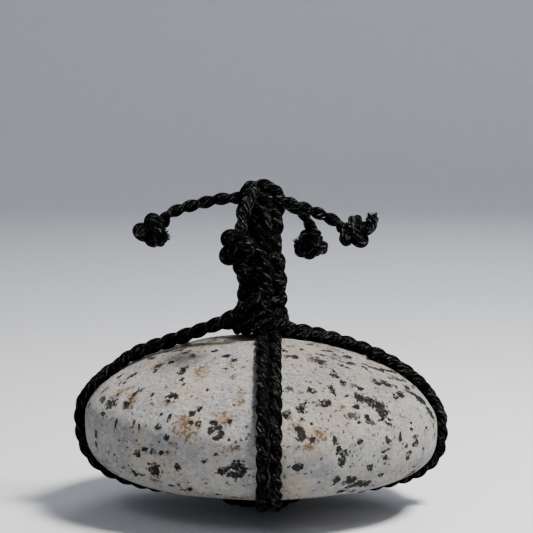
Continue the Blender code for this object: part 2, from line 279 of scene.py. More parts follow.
# Marks on the front of the stone, in millimetres: place along the stone, height, half
# length, half width, and tilt in degrees
DARK_GRAINS_AND_SHADE = (
    (-48.3, 39.2, 2.5, 1.7, 26), (-51.7, 39.4, 1.5, 1.2, 0), (-50.8, 35.6, 1.2, 0.8, 0),
    (-42.7, 39.9, 1.0, 1.3, 0), (-40.7, 42.6, 0.7, 1.6, -20), (-42.2, 47.1, 1.0, 1.8, -27),
    (-46.8, 45.8, 1.2, 1.2, 0), (-37.9, 44.2, 0.8, 0.7, 0), (-34.2, 43.6, 0.6, 1.1, -21),
    (-28.3, 43.6, 1.4, 1.2, 0), (-26.4, 43.7, 0.9, 1.0, 0), (-29.6, 42.4, 0.8, 0.6, 0),
    (-24.9, 50.1, 1.4, 1.8, 0), (-25.3, 48.1, 0.7, 0.8, 0), (-24.6, 47.0, 0.6, 0.7, 0),
    (-33.1, 50.3, 1.7, 1.0, 58), (-34.2, 49.1, 0.7, 0.8, 0), (-29.2, 51.6, 0.9, 0.8, 0),
    (-36.6, 51.2, 2.4, 0.9, 13), (-28.7, 54.0, 1.9, 0.8, 15), (-15.2, 55.1, 0.9, 1.1, 0),
    (-11.2, 54.1, 1.4, 0.8, -21), (-8.5, 53.4, 1.1, 1.0, 0), (-16.8, 45.9, 0.7, 0.6, 0),
    (-19.2, 40.8, 0.8, 1.1, 0), (-28.5, 38.1, 0.5, 1.5, -11), (-31.4, 38.4, 0.7, 0.6, 0),
    (-46.1, 33.7, 0.5, 2.1, -6), (-40.1, 35.0, 0.6, 1.2, 0), (-37.9, 34.2, 0.5, 1.3, 0),
    (-31.9, 35.0, 1.0, 0.9, 0), (-19.0, 36.4, 0.9, 1.0, 0), (-14.8, 37.4, 1.0, 0.6, 0),
    (-53.2, 28.6, 0.7, 1.1, 0), (-53.3, 24.9, 0.7, 1.5, 13), (-56.6, 36.3, 0.8, 0.8, 0),
    (-38.9, 26.0, 1.2, 1.0, 0), (-36.4, 27.6, 1.1, 0.7, 0), (-33.9, 27.2, 0.9, 0.7, 0),
    (-31.2, 27.1, 0.9, 0.7, 0), (-29.3, 32.0, 0.9, 0.7, 0), (-33.0, 20.8, 2.0, 2.2, 0),
    (-40.4, 19.3, 1.1, 1.1, 0), (-25.3, 22.7, 0.9, 1.1, 0), (-17.3, 25.4, 0.8, 0.7, 0),
    (-7.4, 24.2, 2.0, 1.4, 0), (-11.6, 22.4, 2.4, 1.2, 20), (-8.2, 21.2, 2.8, 1.1, -10),
    (-5.4, 22.6, 1.8, 1.4, 0), (-25.6, 54.4, 0.8, 0.6, 33), (-45.9, 44.6, 0.6, 0.6, 0),
    (-44.1, 44.9, 0.8, 0.6, 23), (-46.2, 41.9, 0.6, 0.6, 0), (-15.0, 56.8, 0.6, 0.6, 0),
    (-12.0, 57.0, 0.6, 0.6, 0), (-51.2, 41.6, 0.6, 1.6, -10), (-10.7, 51.3, 0.6, 0.6, 0),
    (16.8, 55.9, 1.1, 0.8, 20), (13.3, 55.4, 0.7, 0.6, -12), (8.9, 56.2, 0.9, 0.7, 0),
    (10.9, 53.9, 1.1, 0.9, 44), (8.7, 53.9, 0.6, 0.6, 0), (20.0, 54.7, 0.8, 0.7, 0),
    (22.5, 54.3, 1.1, 0.7, 0), (24.0, 53.5, 0.6, 0.8, 0), (28.8, 52.5, 1.6, 0.9, -26),
    (29.2, 51.1, 1.4, 0.8, -24), (26.1, 51.1, 0.9, 0.8, -38), (27.7, 50.5, 0.7, 0.7, 0),
    (19.8, 52.2, 1.4, 1.2, -45), (19.3, 51.1, 0.6, 0.6, 0), (23.2, 50.0, 0.7, 0.9, 0),
    (24.2, 48.7, 1.2, 0.9, -42), (26.0, 46.9, 0.9, 0.9, 0), (29.8, 45.9, 0.6, 0.6, 0),
    (31.9, 44.9, 0.9, 0.8, 0), (33.7, 49.5, 0.6, 1.0, 0), (22.2, 45.3, 0.8, 2.4, 0),
    (15.3, 45.7, 0.9, 1.1, 0), (17.2, 45.2, 0.6, 0.5, 0), (27.2, 43.6, 0.7, 0.6, 0),
    (20.4, 41.9, 1.5, 0.9, 0), (31.0, 42.6, 1.7, 1.9, 0), (29.8, 40.4, 0.9, 0.9, 0),
    (34.8, 41.2, 1.6, 1.5, 0), (37.5, 39.5, 1.9, 1.9, -39), (38.6, 37.7, 1.8, 1.7, -36),
    (37.3, 45.8, 1.3, 1.6, 0), (40.4, 45.0, 1.9, 1.2, -38), (43.7, 43.6, 0.7, 0.8, 0),
    (43.1, 41.3, 0.8, 1.4, 0), (45.3, 41.3, 1.8, 1.3, -28), (47.9, 42.3, 1.6, 1.0, 0),
    (49.2, 40.8, 2.9, 0.8, -46), (52.5, 38.3, 2.7, 1.9, -34), (55.5, 33.9, 1.5, 2.6, 18),
    (37.6, 49.0, 4.2, 0.9, -49), (42.1, 47.4, 4.0, 0.8, -32), (45.5, 44.8, 1.4, 0.7, 0),
    (47.6, 43.9, 0.9, 0.7, 0), (42.1, 45.9, 0.7, 0.7, 0), (33.3, 37.1, 1.0, 0.9, 0),
    (31.0, 36.1, 0.6, 0.5, 0), (40.3, 35.8, 0.6, 0.5, 0), (38.0, 35.9, 1.3, 0.5, 0),
    (40.5, 34.3, 1.4, 0.5, -29), (12.8, 41.3, 1.1, 1.4, 0), (13.7, 42.5, 0.6, 0.6, 0),
    (7.8, 39.8, 0.8, 0.9, 0), (9.2, 40.1, 0.6, 0.5, 0), (12.5, 37.9, 0.6, 0.5, 0),
    (15.9, 36.7, 0.6, 0.7, 0), (30.9, 30.4, 0.8, 0.8, 0), (24.1, 28.5, 1.1, 1.1, 0),
    (25.7, 27.4, 1.3, 1.1, 0), (25.3, 24.8, 1.1, 1.7, 0), (39.5, 30.8, 0.6, 0.8, 0),
    (40.0, 29.2, 0.9, 0.7, 0), (40.2, 26.7, 0.9, 0.5, 0), (38.6, 26.3, 0.7, 0.5, 0),
    (39.6, 24.0, 1.0, 0.8, 0), (44.5, 29.9, 0.6, 1.7, -11), (48.3, 31.3, 0.8, 0.6, 0),
    (49.7, 26.5, 1.7, 0.9, 0), (49.3, 28.8, 0.7, 0.5, 0), (46.2, 26.7, 0.7, 0.7, 0),
    (47.3, 24.4, 1.1, 0.5, 0), (47.1, 22.6, 0.7, 0.8, 0), (48.5, 33.4, 0.6, 0.5, 0),
    (56.6, 30.0, 0.7, 0.8, 0), (57.1, 26.6, 0.7, 0.7, 0), (53.7, 30.4, 0.6, 0.6, 0),
    # The marks at (11.0, 23.9) and (32.3, 15.5), low on the right of the front, are painted shade,
    # drawn as dark grains
    (52.6, 24.1, 0.9, 0.5, 0), (11.0, 23.9, 2.0, 1.2, 0), (32.3, 15.5, 2.7, 1.6, 0),
    (23.9, 18.7, 1.1, 1.4, 0), (34.1, 21.7, 0.9, 0.9, 0), (38.4, 18.3, 1.1, 0.8, 0),
)
PITS = (
    (-15.7, 34.5, 1.0, 1.1, 0), (-13.0, 36.0, 1.2, 0.9, 0), (-12.3, 34.3, 1.0, 1.2, 0),
    (-13.4, 32.8, 1.0, 0.7, 0), (-21.4, 39.2, 1.0, 0.9, 0), (-9.4, 37.8, 0.8, 0.7, 0),
    (-13.6, 27.7, 0.7, 0.6, 0), (-9.4, 32.4, 0.6, 0.6, 0), (-21.8, 36.8, 0.7, 0.6, 0),
    (12.9, 33.6, 1.4, 1.9, 0), (16.1, 32.1, 0.8, 1.0, 0), (11.8, 35.6, 1.1, 0.7, 0),
    (22.6, 31.5, 0.8, 1.4, 0), (23.8, 27.3, 0.6, 0.5, 0),
)
RUST_STAINS = (
    (-23.0, 35.8, 3.9, 3.8, 0), (-11.1, 38.4, 3.0, 2.6, 0), (-19.2, 50.3, 2.4, 3.2, 0),
    (-9.4, 52.2, 1.2, 1.6, 0), (-8.4, 49.2, 1.0, 1.4, 0), (-28.9, 41.4, 2.0, 0.8, 15),
    (-33.1, 50.3, 1.6, 1.8, 0), (-9.0, 29.6, 2.2, 1.2, 0), (-28.8, 27.2, 1.1, 0.9, 0),
    (-27.1, 30.0, 1.1, 0.9, 0), (-40.5, 41.3, 1.5, 3.0, 0), (-45.0, 42.7, 4.4, 1.4, 43),
    (-6.4, 43.5, 1.4, 3.5, 0), (-14.8, 53.4, 0.8, 1.0, 0), (-41.0, 42.3, 2.2, 2.0, 0),
    (9.6, 52.3, 0.6, 0.6, 0), (20.4, 45.9, 0.6, 0.6, 0), (12.3, 45.2, 0.8, 0.8, 0),
    (26.0, 46.7, 1.3, 1.3, 0), (29.8, 45.9, 0.8, 1.0, 0), (12.8, 41.1, 1.8, 2.0, 0),
    (8.4, 39.2, 1.6, 1.8, 0), (14.7, 30.2, 2.8, 1.1, 0), (18.5, 33.6, 2.7, 2.2, 0),
    (11.0, 36.1, 2.2, 1.6, 0), (25.2, 40.6, 1.2, 0.8, 0), (16.9, 53.2, 2.0, 2.3, 0),
    (25.0, 53.0, 1.2, 1.3, 0), (43.8, 45.6, 1.9, 1.3, 0), (44.6, 36.0, 0.9, 0.6, 0),
    (35.0, 31.7, 0.6, 0.5, 0), (40.0, 29.2, 1.3, 1.1, 0), (49.4, 29.0, 1.7, 1.0, 0),
    (47.2, 23.7, 1.2, 1.1, 0), (36.4, 38.7, 1.2, 0.6, -38), (31.0, 30.1, 1.1, 0.9, 0),
    (40.2, 32.8, 0.6, 0.5, 0),
)
OLIVE_PATCHES = (
    (-42.7, 39.9, 1.2, 1.5, 0), (20.6, 41.9, 1.9, 1.1, 0), (34.8, 41.2, 1.6, 1.5, 0),
    (40.4, 45.0, 1.5, 0.9, -38), (28.5, 38.2, 1.2, 1.0, 0), (30.0, 37.2, 0.8, 0.6, 0),
    (34.2, 35.7, 1.6, 0.9, -14), (19.5, 52.6, 1.8, 1.4, -46), (38.7, 39.9, 1.2, 1.1, 0),
    (50.4, 41.8, 1.6, 0.8, 0), (9.1, 46.2, 1.1, 0.9, 0),
)
MARK_EDGE = 1.3
MARK_REACH = 3.0

# Marks over the rest of the stone: how many clusters, the share of each kind, their size and
# how far apart the marks of a cluster lie
MARKS_ELSEWHERE = 230
MARK_SHARES = {"dark": 0.60, "pit": 0.14, "rust": 0.20, "olive": 0.06}
SMALLEST_MARK = 0.6
RUST_LARGER_BY = 0.9
CLUSTER_SPREAD = 1.6

# A flake is off the upper right edge: where it starts, how far it runs out, half its width and
# its depth
NICK = (34.6, 4.0, 13.0, 1.3)


def linear(hex_colour):
    """An sRGB hex colour as the linear colour that a shader takes."""
    channels = [int(hex_colour[i : i + 2], 16) / 255 for i in (1, 3, 5)]
    turned = [c / 12.92 if c <= 0.04045 else ((c + 0.055) / 1.055) ** 2.4 for c in channels]
    return (*turned, 1.0)


def add(tree, kind, settings, inputs):
    """Adds a node with its settings. Each of its inputs is given as a value, or as the output
    of another node that is linked into it."""
    node = tree.nodes.new(kind)
    for name, value in settings.items():
        setattr(node, name, value)
    for socket, value in inputs.items():
        if isinstance(value, bpy.types.NodeSocket):
            tree.links.new(value, node.inputs[socket])
        else:
            node.inputs[socket].default_value = value
    return node


def tinted(tree, colour, layers):
    """Lays tints over a colour. Each one shows where its value rises from a low to a high level,
    and covers at most a share of what is under it."""
    for value, low, high, most, tint in layers:
        share = add(tree, "ShaderNodeMapRange", {"interpolation_type": "SMOOTHSTEP"},
                    {"Value": value, "From Min": low, "From Max": high, "To Max": most})
        colour = add(tree, "ShaderNodeMix", {"data_type": "RGBA"},
                     {0: share.outputs["Result"], 6: colour, 7: linear(tint)}).outputs[2]
    return colour


def smooth_step(value):
    value = np.clip(value, 0.0, 1.0)
    return value * value * (3.0 - 2.0 * value)


def unit(vector):
    vector = np.asarray(vector, float)
    return vector / np.linalg.norm(vector)


def unit_rows(vectors):
    return vectors / np.linalg.norm(vectors, axis=1)[:, None]


def circle(sides):
    return np.linspace(0.0, 2 * math.pi, sides, endpoint=False)


def make_camera():
    data = bpy.data.cameras.new("camera")
    data.sensor_width = SENSOR
    data.lens = SENSOR * CAMERA_DISTANCE / (PICTURE_SIDE * MM_PER_PIXEL)
    camera = bpy.data.objects.new("camera", data)
    away = np.array([0.0, -math.cos(CAMERA_RISE), math.sin(CAMERA_RISE)])
    camera.location = (np.array(CAMERA_TARGET) + away * CAMERA_DISTANCE) * MM
    camera.rotation_euler = (math.pi / 2 - CAMERA_RISE, 0.0, 0.0)
    bpy.context.scene.collection.objects.link(camera)
    bpy.context.scene.camera = camera


def black_cord_material():
    """Polyester filament yarn, dyed black and laid up in two plies: satin, nearly black, with
    short bright glints where the filaments turn to the light, some of them painted glints
    in the colour of the standing bundles."""
    material = bpy.data.materials.new("black filament cord, two-ply")
    material.use_nodes = True
    tree = material.node_tree
    shader = tree.nodes["Principled BSDF"]
    yarn = add(tree, "ShaderNodeAttribute", {"attribute_name": "yarn"}, {}).outputs["Vector"]
    # The real filaments are 0.03 mm thick: they are drawn in bundles 0.7 mm apart round the
    # ply, which run on for 3 mm
    drawn_out = add(tree, "ShaderNodeVectorMath", {"operation": "MULTIPLY"},
                    {0: yarn, 1: (1.4, 1.4, 0.34)}).outputs[0]
    bundles = add(tree, "ShaderNodeTexNoise", {},
                  {"Vector": drawn_out, "Scale": 1.0, "Detail": 3.0, "Roughness": 0.6})
    # Snags and loose filaments break the bundles up every 0.8 mm
    snags = add(tree, "ShaderNodeTexNoise", {},
                {"Vector": yarn, "Scale": 1.3, "Detail": 3.0, "Roughness": 0.6})
    relief = add(tree, "ShaderNodeMath", {"operation": "MULTIPLY_ADD"},
                 {0: snags.outputs["Fac"], 1: 0.8, 2: bundles.outputs["Fac"]}).outputs[0]
    bump = add(tree, "ShaderNodeBump", {},
               {"Height": relief, "Strength": 1.0, "Distance": 3.0 * MM})
    tree.links.new(bump.outputs["Normal"], shader.inputs["Normal"])
    # Only the bundles that stand up and are rubbed flat catch the light: between them the cord
    # swallows it. They are shinier and smoother, and their colour is painted lighter as a
    # painted glint.
    rubbed_and_painted_glint = add(tree, "ShaderNodeMapRange", {"interpolation_type": "SMOOTHSTEP"},
                 {"Value": relief, "From Min": 0.94, "From Max": 1.16}).outputs["Result"]
    # Painted glint: the standing bundles are painted a lighter grey than the black between them
    colour = add(tree, "ShaderNodeValToRGB", {}, {"Fac": rubbed_and_painted_glint})
    colour.color_ramp.elements[0].color = linear("#010101")
    colour.color_ramp.elements[1].color = linear("#17181c")
    tree.links.new(colour.outputs["Color"], shader.inputs["Base Color"])
    for socket, between_bundles, on_bundles in (
        ("Specular IOR Level", 0.02, 0.75),
        ("Roughness", 0.75, 0.24),
    ):
        level = add(tree, "ShaderNodeMapRange", {},
                    {"Value": rubbed_and_painted_glint, "To Min": between_bundles, "To Max": on_bundles})
        tree.links.new(level.outputs["Result"], shader.inputs[socket])
    shader.inputs["IOR"].default_value = 1.57
    return material


def granite_material():
    """Pale granite, rolled smooth in a river: milky feldspar and quartz with black mica and
    hornblende, a few of their grains painted pale as painted glints, pits where grains have
    weathered out, darkened with painted shade, and rust round the iron-bearing ones. Dry and matte."""
    material = bpy.data.materials.new("pale granite, river-worn")
    material.use_nodes = True
    tree = material.node_tree
    shader = tree.nodes["Principled BSDF"]
    place = add(tree, "ShaderNodeTexCoord", {}, {}).outputs["Object"]
    in_mm = add(tree, "ShaderNodeVectorMath", {"operation": "SCALE"},
                {0: place, "Scale": 1000.0}).outputs[0]

    # Soft fields, each with the size in millimetres of its largest clouds: drifts of quartz,
    # dust on the skin, warm drifts, the ragged edge of stains and pits, and the pecks that the
    # river has left
    soft_fields = []
    for size, detail, roughness in (
        (9.0, 5.0, 0.6),
        (0.55, 4.0, 0.7),
        (17.0, 4.0, 0.6),
        (1.3, 5.0, 0.7),
        (1.2, 6.0, 0.75),
    ):
        inputs = {"Vector": in_mm, "Scale": 1.0 / size, "Detail": detail, "Roughness": roughness}
        soft_fields.append(add(tree, "ShaderNodeTexNoise", {}, inputs).outputs["Fac"])
    clouds, dust, warmth, ragged, pecks = soft_fields

    # Crystals 1 mm across and smaller grains, each with three random values. Their places are
    # shaken by up to 0.65 mm either way, so that none has a straight edge
    shaken = add(tree, "ShaderNodeTexNoise", {},
                 {"Vector": in_mm, "Scale": 1.1, "Detail": 4.0, "Roughness": 0.65})
    uneven = add(tree, "ShaderNodeVectorMath", {"operation": "MULTIPLY_ADD"},
                 {0: shaken.outputs["Color"], 1: (1.3, 1.3, 1.3), 2: in_mm}).outputs[0]
    split = []
    for size in (1.0, 0.75):
        cells = add(tree, "ShaderNodeTexVoronoi", {}, {"Vector": uneven, "Scale": 1.0 / size})
        split.append(add(tree, "ShaderNodeSeparateColor", {}, {"Color": cells.outputs["Color"]}))
    crystals, grains = (node.outputs for node in split)

    # Where each mark is strong enough to take in a grain with its random value, so that the
    # mark breaks up into whole grains
    marks, taken = {}, {}
    for name, strength, value in (
        ("rust", 0.65, grains[2]),
        ("olive", 1.5, grains[1]),
        ("dark", 1.75, grains[0]),
        ("pit", 2.2, grains[0]),
    ):
        marks[name] = add(tree, "ShaderNodeAttribute", {"attribute_name": name}, {}).outputs["Fac"]
        strong = add(tree, "ShaderNodeMath", {"operation": "MULTIPLY"},
                     {0: marks[name], 1: strength}).outputs[0]
        taken[name] = add(tree, "ShaderNodeMath", {"operation": "SUBTRACT"},
                          {0: strong, 1: value}).outputs[0]

    # Milky feldspar and greyer quartz under dust and warm drifts. Iron stains soak in round the
    # pits and fade out, with a few grains rusted through and a few olive ones
    soaked = add(tree, "ShaderNodeMath", {"operation": "ADD"},
                 {0: marks["rust"], 1: ragged}).outputs[0]
    colour = tinted(tree, linear("#bcbcbe"), (
        (clouds, 0.35, 0.66, 1.0, "#dddbd7"),
        (crystals[0], 0.62, 0.92, 0.5, "#a2a4a8"),
        (crystals[1], 0.60, 0.90, 0.55, "#eeece6"),
        (dust, 0.50, 0.72, 0.55, "#94959a"),
        (warmth, 0.46, 0.66, 0.5, "#d9c3a4"),
        (soaked, 0.6667, 1.3889, 0.75, "#b89c7a"),
        (taken["rust"], 0.0, 0.12, 0.7, "#5f4633"),
        (taken["olive"], 0.0, 0.10, 0.9, "#454232"),
    ))

    # Black mica and hornblende in ragged knots of small grains, with two patches of painted shade
    # low on the front among them, and a thin scatter of single ones that keeps away from the
    # milkier clouds
    dark_parts = []
    for value, low, high, most in (
        (taken["dark"], 0.14, 0.22, 1.0),
        (grains[0], 0.935, 0.945, 0.8),
        (clouds, 0.62, 0.50, 1.0),
    ):
        part = add(tree, "ShaderNodeMapRange", {"interpolation_type": "SMOOTHSTEP"},
                   {"Value": value, "From Min": low, "From Max": high, "To Max": most})
        dark_parts.append(part.outputs["Result"])
    knots, lone, away = dark_parts
    single = add(tree, "ShaderNodeMath", {"operation": "MULTIPLY"}, {0: lone, 1: away}).outputs[0]
    dark = add(tree, "ShaderNodeMath", {"operation": "MAXIMUM"}, {0: knots, 1: single}).outputs[0]
    # Most of the grains are black, a few olive, and a few painted pale grey as painted glints
    # off their crystal faces
    grain_colour_and_glint = tinted(tree, linear("#060607"), (
        (grains[1], 0.55, 0.65, 1.0, "#131417"),
        (grains[1], 0.86, 0.90, 1.0, "#47443a"),
        (grains[2], 0.86, 0.90, 0.8, "#85877f"),
    ))
    colour = add(tree, "ShaderNodeMix", {"data_type": "RGBA"},
                 {0: dark, 6: colour, 7: grain_colour_and_glint}).outputs[2]

    # Pits where grains have weathered out, darkened almost to black with painted shade in
    # the hollows
    hollow = add(tree, "ShaderNodeMath", {"operation": "MULTIPLY_ADD"},
                 {0: ragged, 1: 0.8, 2: taken["pit"]}).outputs[0]
    colour = tinted(tree, colour, ((hollow, 0.62, 0.95, 0.96, "#15110e"),))
    tree.links.new(colour, shader.inputs["Base Color"])
    pits = add(tree, "ShaderNodeMapRange", {"interpolation_type": "SMOOTHSTEP"},
               {"Value": hollow, "From Min": 0.62, "From Max": 0.95}).outputs["Result"]

    # Rough: a dry rubbed surface, a little smoother on the mica
    rough = add(tree, "ShaderNodeMapRange", {"interpolation_type": "SMOOTHSTEP"},
                {"Value": dark, "To Min": 0.85, "To Max": 0.62})
    tree.links.new(rough.outputs["Result"], shader.inputs["Roughness"])
    shader.inputs["IOR"].default_value = 1.53
    shader.inputs["Specular IOR Level"].default_value = 0.22

    # Crystals stand in small steps, the whole skin is finely pecked, and the soft grains and
    # the pits are worn down
    relief = 0.0
    for value, height in ((crystals[2], 0.45), (pecks, 12.0), (dark, -0.35), (pits, -1.0)):
        relief = add(tree, "ShaderNodeMath", {"operation": "MULTIPLY_ADD"},
                     {0: value, 1: height, 2: relief}).outputs[0]
    bump = add(tree, "ShaderNodeBump", {},
               {"Height": relief, "Strength": 1.0, "Distance": 0.55 * MM})
    tree.links.new(bump.outputs["Normal"], shader.inputs["Normal"])
    return material


def floor_material():
    """Seamless paper: pale, even and matte."""
    material = bpy.data.materials.new("pale paper, uncoated")
    material.use_nodes = True
    tree = material.node_tree
    shader = tree.nodes["Principled BSDF"]
    shader.inputs["Roughness"].default_value = 0.85
    fibres = add(tree, "ShaderNodeTexNoise", {}, {"Scale": 300.0, "Detail": 3.0})
    colour = add(tree, "ShaderNodeValToRGB", {}, {"Fac": fibres.outputs["Fac"]})
    colour.color_ramp.elements[0].color = linear("#c6c9ce")
    colour.color_ramp.elements[1].color = linear("#cfd1d5")
    tree.links.new(colour.outputs["Color"], shader.inputs["Base Color"])
    return material


def new_piece(name, points, faces, material, fields):
    """A mesh piece that rides on the part, from points in millimetres, with fields stored at
    them for its material."""
    mesh = bpy.data.meshes.new(name)
    mesh.from_pydata(np.asarray(points) * MM, [], faces)
    for field_name, (kind, values) in fields.items():
        attribute = mesh.attributes.new(field_name, kind, "POINT")
        key = "vector" if kind == "FLOAT_VECTOR" else "value"
        attribute.data.foreach_set(key, np.asarray(values, np.float32).ravel())
    mesh.shade_smooth()
    mesh.materials.append(material)
    obj = bpy.data.objects.new(name, mesh)
    bpy.context.scene.collection.objects.link(obj)
    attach(obj, "root")
    return obj


def run_of(route):
    """How far along the route each of its points lies."""
    return np.concatenate([[0.0], np.cumsum(np.linalg.norm(np.diff(route, axis=0), axis=1))])


def smooth_route(points):
    """Points an even step apart on a smooth curve through the points of a route."""
    points = np.array(points, float)
    padded = np.vstack([2 * points[0] - points[1], points, 2 * points[-1] - points[-2]])
    curve = []
    for before, start, end, after in zip(padded, padded[1:], padded[2:], padded[3:]):
        bend = 2 * before - 5 * start + 4 * end - after
        twist = 3 * (start - end) + after - before
        for t in np.linspace(0.0, 1.0, 24, endpoint=False):
            curve.append(start + 0.5 * ((end - before) * t + bend * t**2 + twist * t**3))
    curve = np.vstack([curve, points[-1]])
    run = run_of(curve)
    even = np.linspace(0.0, run[-1], int(run[-1] / CORD_STEP) + 2)
    return np.stack([np.interp(even, run, curve[:, axis]) for axis in range(3)], axis=1)


def frames_of(route):
    """Two directions across the route at each point, carried along it without twisting."""
    ways = unit_rows(np.gradient(route, axis=0))
    first = np.cross(ways[0], (0.0, 0.0, 1.0) if abs(ways[0][2]) < 0.9 else (1.0, 0.0, 0.0))
    sides = [unit(first)]
    for way in ways[1:]:
        sides.append(unit(sides[-1] - way * np.dot(sides[-1], way)))
    sides = np.array(sides)
    return sides, np.cross(ways, sides)


def lay_cord(name, route, material, start=0, stop=None, thickness=1.0, turned=0.0, pressed=0.0):
    """The cord along part of a route, as one mesh: two plies laid round each other to the left.

    turned shifts the plies round the cord, thickness makes it stouter, and pressed brings the
    two plies into each other, as in a cord that is pulled tight.
    """
    run = run_of(route)
    sides, ups = frames_of(route)
    chosen = slice(start, stop)
    centres, sides, ups, run = route[chosen], sides[chosen], ups[chosen], run[chosen]
    around = circle(CORD_SIDES)
    wander = 1.0 + LONG_WAVE[0] * np.sin(run / LONG_WAVE[1] + turned * 5.0)
    wander = wander + SHORT_WAVE[0] * np.sin(run / SHORT_WAVE[1] + 1.7)
    offset = (PLY_OFFSET - PRESSED_PLIES * pressed) * thickness
    ply = (PLY_RADIUS + PRESSED_PLIES * pressed) * thickness * wander[:, None]
    reach = offset * np.abs(np.cos(around)) + np.sqrt(ply**2 - (offset * np.sin(around)) ** 2)
    closing = np.ones(len(run))
    closing[[0, -1]], closing[[1, -2]] = END_CLOSING
    reach = reach * closing[:, None]
    twist = turned - 2 * math.pi * run / LAY + LAY_WAVE[0] * np.sin(run / LAY_WAVE[1] + turned)
    angle = around[None, :] + twist[:, None]
    points = centres[:, None, :] + reach[:, :, None] * (
        np.cos(angle)[:, :, None] * sides[:, None, :] + np.sin(angle)[:, :, None] * ups[:, None, :]
    )
    which = np.sign(np.cos(around) + 1e-9)
    ply_angle = np.arctan2(reach * np.sin(around), reach * np.cos(around) - which * offset)
    yarn_angle = ply_angle + YARN_TURN * run[:, None]
    # Where each point lies in its own yarn, for the material, with every ply elsewhere
    yarn = np.stack(
        [
            PLY_RADIUS * np.cos(yarn_angle) + YARN_PLY_SHIFT * which + YARN_CORD_SHIFT * turned,
            PLY_RADIUS * np.sin(yarn_angle),
            np.broadcast_to(run[:, None], yarn_angle.shape),
        ],
        axis=2,
    )
    count = len(run)
    rings = np.arange(count * CORD_SIDES).reshape(count, CORD_SIDES)
    after = np.roll(rings, -1, axis=1)
    quads = np.stack([rings[:-1], after[:-1], after[1:], rings[1:]], axis=2).reshape(-1, 4)
    faces = [*quads.tolist(), rings[0][::-1].tolist(), rings[-1].tolist()]
    fields = {"yarn": ("FLOAT_VECTOR", yarn.reshape(-1, 3))}
    return new_piece(name, points.reshape(-1, 3), faces, material, fields)


def stone_surface(directions):
    """The points of the pebble's surface along unit directions, one a row."""
    ux, uy, uz = np.asarray(directions, float).T
    level = np.hypot(ux, uy)
    power = FULL_BELOW + (ROUND_ABOVE - FULL_BELOW) * smooth_step(uz / 0.6 + 0.5)
    reach = (level**power + np.abs(uz) ** power) ** (-1.0 / power)
    lump = 1.0 + LUMP_ALONG * np.sin(3.0 * ux + 1.0) * np.cos(2.0 * uz)
    lump = lump + LUMP_ACROSS * np.sin(2.6 * uy + 2.0 * ux)
    widest = WIDEST_LEVEL + WIDEST_LEVEL_SLOPE * ux
    height = np.where(uz > 0.0, STONE_TOP - widest, widest - STONE_BOTTOM)
    x = STONE_MIDDLE[0] + STONE_LENGTH / 2 * reach * ux * lump
    y = STONE_MIDDLE[1] + STONE_DEPTH / 2 * reach * uy * lump
    return np.stack([x, y, widest + height * reach * uz], axis=1)


def band_route(along_x, lane, middle_level):
    """A cord's route round the stone in the upright plane at lane, lying on the stone.

    middle_level is the height of the cord's middle under the middle of the stone.
    """
    turns = np.radians(np.linspace(*BAND_TURN, ROUTE_STEPS))
    half_width = (STONE_DEPTH if along_x else STONE_LENGTH) / 2
    across = np.full_like(turns, lane / half_width)
    flat = np.sqrt(1.0 - across**2)
    ahead = flat * np.cos(turns)
    up = flat * np.sin(turns)
    rows = [ahead, across, up] if along_x else [across, ahead, up]
    axis = 0 if along_x else 1
    section = stone_surface(np.stack(rows, axis=1))[:, [axis, 2]]
    tangent = unit_rows(np.gradient(section, axis=0))
    normal = np.stack([tangent[:, 1], -tangent[:, 0]], axis=1)
    outward = section - np.array([0.0, WIDEST_LEVEL])
    normal *= np.sign((normal * outward).sum(axis=1))[:, None]
    section = section + normal * CORD_SEAT
    drop = STONE_BOTTOM - CORD_SEAT - middle_level
    beyond_flat = (np.abs(section[:, 0]) - FLAT_REACH) / (LIFT_REACH - FLAT_REACH)
    section[:, 1] -= drop * (1.0 - smooth_step(beyond_flat)) * (np.sin(turns) < 0.0)
    route = np.empty((len(turns), 3))
    route[:, axis] = section[:, 0]
    route[:, 1 - axis] = lane
    route[:, 2] = section[:, 1]
    route = route[(np.abs(route[:, axis]) > FOOT_REACH) | (route[:, 2] < WIDEST_LEVEL)]
    kept = np.linspace(0, len(route) - 1, ROUTE_KEPT).round().astype(int)
    return route[kept]


def tuck(route, at_start, at_end):
    """Leads the ends of a band in under the foot knot, out of sight."""
    inward = np.array([TUCK_INWARD, TUCK_INWARD, 1.0])
    rise = np.array([0.0, 0.0, TUCK_RISE])

    def led_in(end):
        return end * inward + rise, end * inward * inward + 2 * rise

    if at_start:
        near, far = led_in(route[0])
        route = np.vstack([far, near, route])
    if at_end:
        route = np.vstack([route, *led_in(route[-1])])
    return route


def press(cord, low, high):
    """Presses a cord between two levels where the stone's weight lies on it."""
    for vert in cord.data.vertices:
        x, y, z = vert.co / MM
        if z < STONE_BOTTOM + PRESSED_LAYER and max(abs(x), abs(y)) < LIFT_REACH:
            vert.co.z = min(max(z, low), high) * MM


